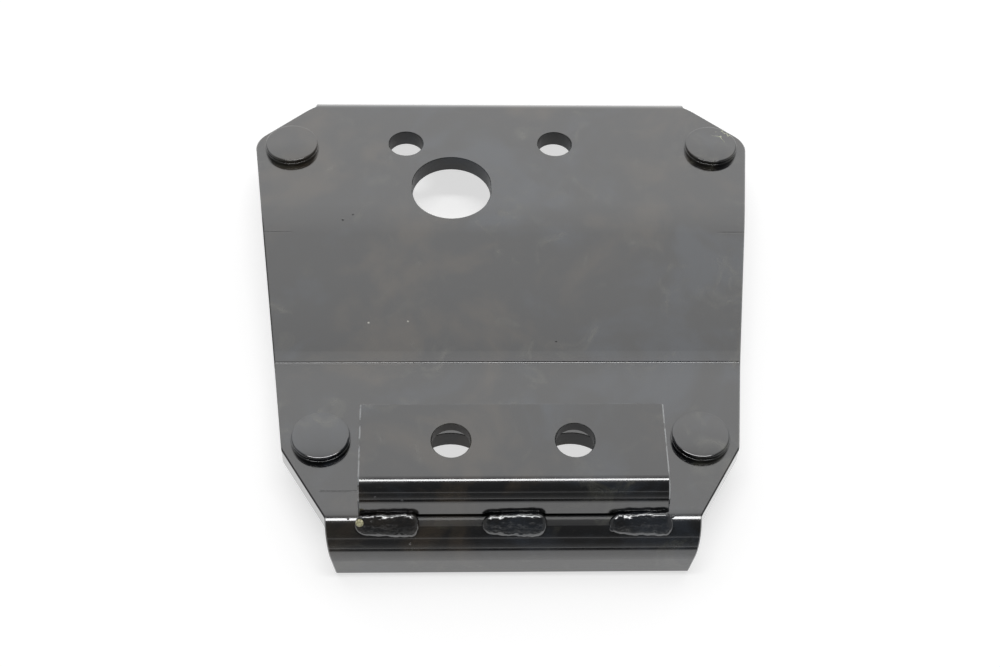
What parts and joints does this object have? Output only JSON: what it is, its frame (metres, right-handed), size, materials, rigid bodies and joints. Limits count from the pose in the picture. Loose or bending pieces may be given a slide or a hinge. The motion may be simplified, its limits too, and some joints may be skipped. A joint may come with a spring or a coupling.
{
  "type": "motor mounting bracket",
  "caption": "Stepped steel plate with a flange turned down at each end, a welded drilled angle and flat-headed studs.",
  "frame": {"origin": "middle of the footprint, level with the free edge of the front flange", "axes": "+Z square up from the panels, -Y towards the welded front end, +X to the right seen from the front"},
  "size_m": [0.183, 0.1994, 0.0321],
  "materials": {
    "plate_paint": "gloss",
    "angle_paint": "gloss",
    "weld_paint": "gloss",
    "stud_paint": "gloss"
  },
  "bodies": {
    "root": {"main_plate": "plate_paint", "angle_bracket": "angle_paint", "weld_left": "weld_paint", "weld_middle": "weld_paint", "weld_right": "weld_paint", "stud_rear_left": "stud_paint", "stud_rear_right": "stud_paint", "stud_front_left": "stud_paint", "stud_front_right": "stud_paint"}
  },
  "joints": []
}
